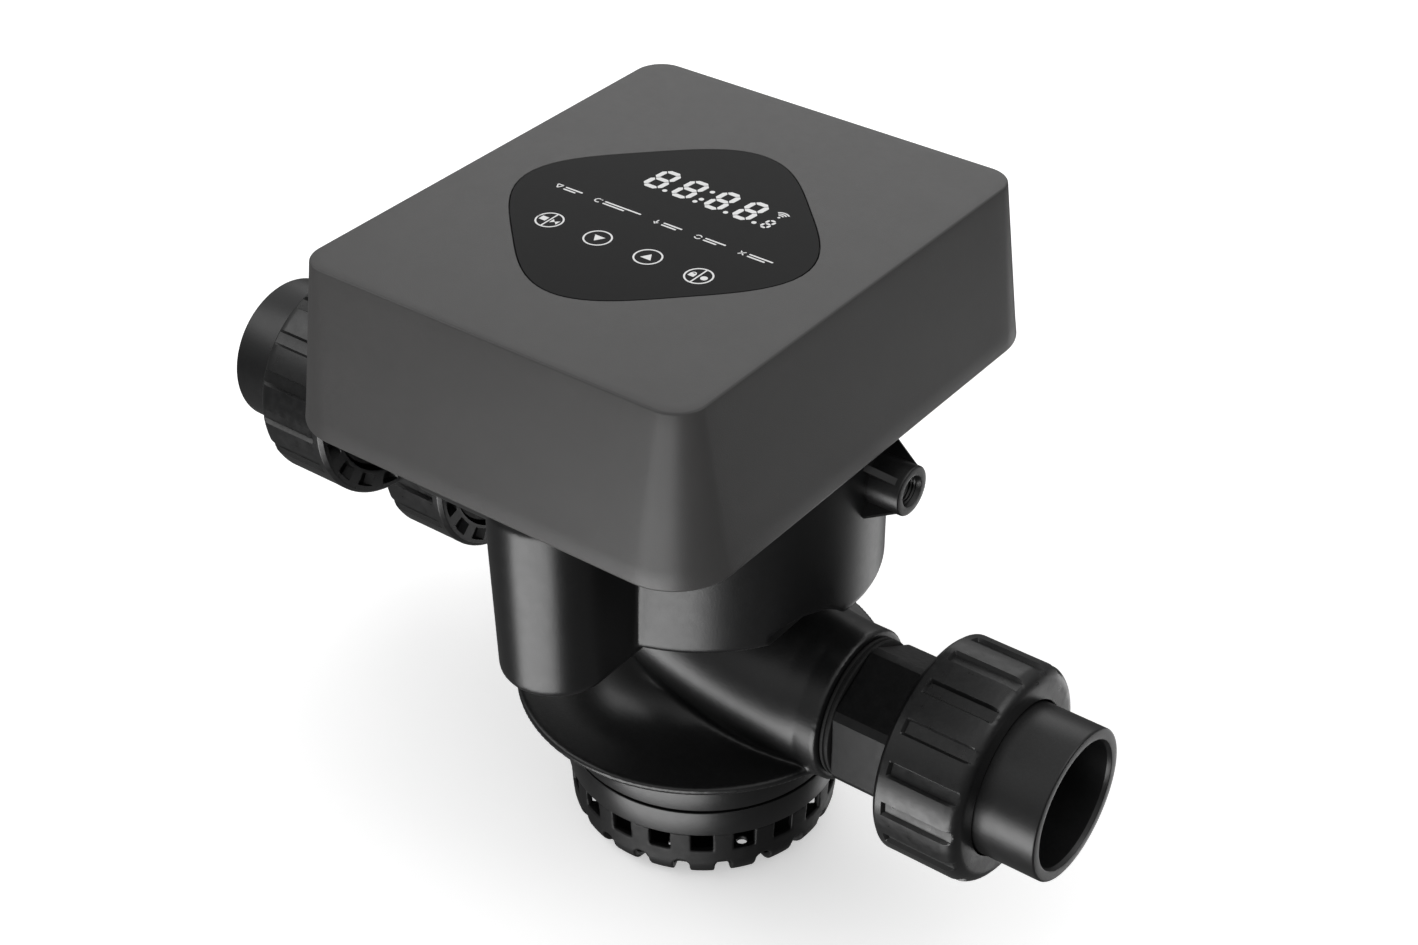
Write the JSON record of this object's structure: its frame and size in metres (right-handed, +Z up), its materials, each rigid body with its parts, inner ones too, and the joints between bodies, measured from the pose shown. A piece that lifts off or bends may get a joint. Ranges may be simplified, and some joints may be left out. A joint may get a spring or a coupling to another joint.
{
  "type": "motorised multiport filter valve",
  "caption": "Motorised multiport valve: charcoal tapered drive head with touch panel on a black round body with pipe unions, neck flange and slotted basket.",
  "frame": {"origin": "centre of the neck flange's underside, on the neck axis", "axes": "+Z up along the neck and the rotor shaft; +X towards the single pipe union; -Y is the front, where the panel is read from"},
  "size_m": [0.3751, 0.2224, 0.2655],
  "materials": {
    "body_black": "satin black glass-filled plastic",
    "cover_grey": "fine-grained charcoal plastic",
    "panel_black": "printed black touch film",
    "seal_rubber": "black EPDM",
    "gear_nylon": "natural acetal",
    "circuit_board": "green solder mask",
    "dark_plastic": "dark grey plastic",
    "steel": "stainless steel"
  },
  "bodies": {
    "root": {"valve_body": "body_black", "motor_well": "body_black", "inlet_horn": "body_black", "gauge_boss": "body_black", "neck_bell": "body_black", "neck_tube": "body_black", "centre_socket": "body_black", "outlet_horn": "body_black", "waste_horn": "body_black", "port_plate": "gear_nylon", "spider_gasket": "seal_rubber", "bonnet": "body_black", "bonnet_oring": "seal_rubber", "shaft_bush": "gear_nylon", "base_plate": "dark_plastic", "base_plate_screw_1": "steel", "base_plate_screw_2": "steel", "base_plate_screw_3": "steel", "base_plate_screw_4": "steel", "cover_screw_1": "steel", "cover_screw_2": "steel", "cover_screw_3": "steel", "cover_screw_4": "steel", "gearmotor": "steel", "idler_pin": "steel", "position_sensor": "circuit_board", "control_board": "circuit_board", "terminal_block": "dark_plastic", "power_gland": "dark_plastic", "power_gland_nut": "dark_plastic", "outlet_hex_tailpiece": "body_black", "outlet_thread_seal": "seal_rubber", "outlet_union_oring": "seal_rubber", "inlet_hex_tailpiece": "body_black", "inlet_thread_seal": "seal_rubber", "inlet_union_oring": "seal_rubber", "waste_hex_tailpiece": "body_black", "waste_thread_seal": "seal_rubber", "waste_union_oring": "seal_rubber", "flange_oring": "seal_rubber", "neck_collar": "body_black", "basket_band": "body_black", "diffuser_basket": "body_black"},
    "rotor": {"rotor": "gear_nylon", "rotor_shaft": "steel", "rotor_spring": "steel", "drive_gear": "gear_nylon", "position_wheel": "dark_plastic"},
    "idler": {"idler_gear": "gear_nylon"},
    "pinion": {"motor_pinion": "steel"},
    "cover": {"cover": "cover_grey", "touch_panel": "panel_black", "display_board": "circuit_board"},
    "outlet_tail": {"outlet_pipe_socket": "body_black"},
    "outlet_nut": {"outlet_union_nut": "body_black"},
    "inlet_tail": {"inlet_pipe_socket": "body_black"},
    "inlet_nut": {"inlet_union_nut": "body_black"},
    "waste_tail": {"waste_pipe_socket": "body_black"},
    "waste_nut": {"waste_union_nut": "body_black"}
  },
  "joints": [
    {"name": "rotor_turn", "type": "hinge", "parent": "root", "child": "rotor", "pos_m": [0, 0, 0.15], "axis": [0, 0, 1], "continuous": true},
    {"name": "idler_turn", "type": "hinge", "parent": "root", "child": "idler", "pos_m": [0.02362, -0.05297, 0.153], "axis": [0, 0, 1], "continuous": true},
    {"name": "motor_turn", "type": "hinge", "parent": "root", "child": "pinion", "pos_m": [-0.001, -0.087, 0.156], "axis": [0, 0, 1], "continuous": true},
    {"name": "cover_lift", "type": "slide", "parent": "root", "child": "cover", "axis": [0, 0, 1], "range_m": [0, 0.15]},
    {"name": "outlet_tail_pull", "type": "slide", "parent": "root", "child": "outlet_tail", "axis": [1, 0, 0], "range_m": [0, 0.0201]},
    {"name": "outlet_nut_turn", "type": "hinge", "parent": "outlet_tail", "child": "outlet_nut", "pos_m": [0.125, 0, 0.0194], "axis": [1, 0, 0], "range_deg": [0, 1440]},
    {"name": "inlet_tail_pull", "type": "slide", "parent": "root", "child": "inlet_tail", "axis": [-1, 0, 0], "range_m": [0, 0.0201]},
    {"name": "inlet_nut_turn", "type": "hinge", "parent": "inlet_tail", "child": "inlet_nut", "pos_m": [-0.1615, -0.0153, 0.0842], "axis": [-1, 0, 0], "range_deg": [0, 1440]},
    {"name": "waste_tail_pull", "type": "slide", "parent": "root", "child": "waste_tail", "axis": [-1, 0, 0], "range_m": [0, 0.0201]},
    {"name": "waste_nut_turn", "type": "hinge", "parent": "waste_tail", "child": "waste_nut", "pos_m": [-0.1615, 0.0485, 0.0194], "axis": [-1, 0, 0], "range_deg": [0, 1440]}
  ],
  "couplings": [
    {"joint": "idler_turn", "follows": "rotor_turn", "ratio": -4.8},
    {"joint": "motor_turn", "follows": "rotor_turn", "ratio": 12},
    {"joint": "outlet_tail_pull", "follows": "outlet_nut_turn", "m_per_rad": 0.00079577},
    {"joint": "inlet_tail_pull", "follows": "inlet_nut_turn", "m_per_rad": 0.00079577},
    {"joint": "waste_tail_pull", "follows": "waste_nut_turn", "m_per_rad": 0.00079577}
  ]
}
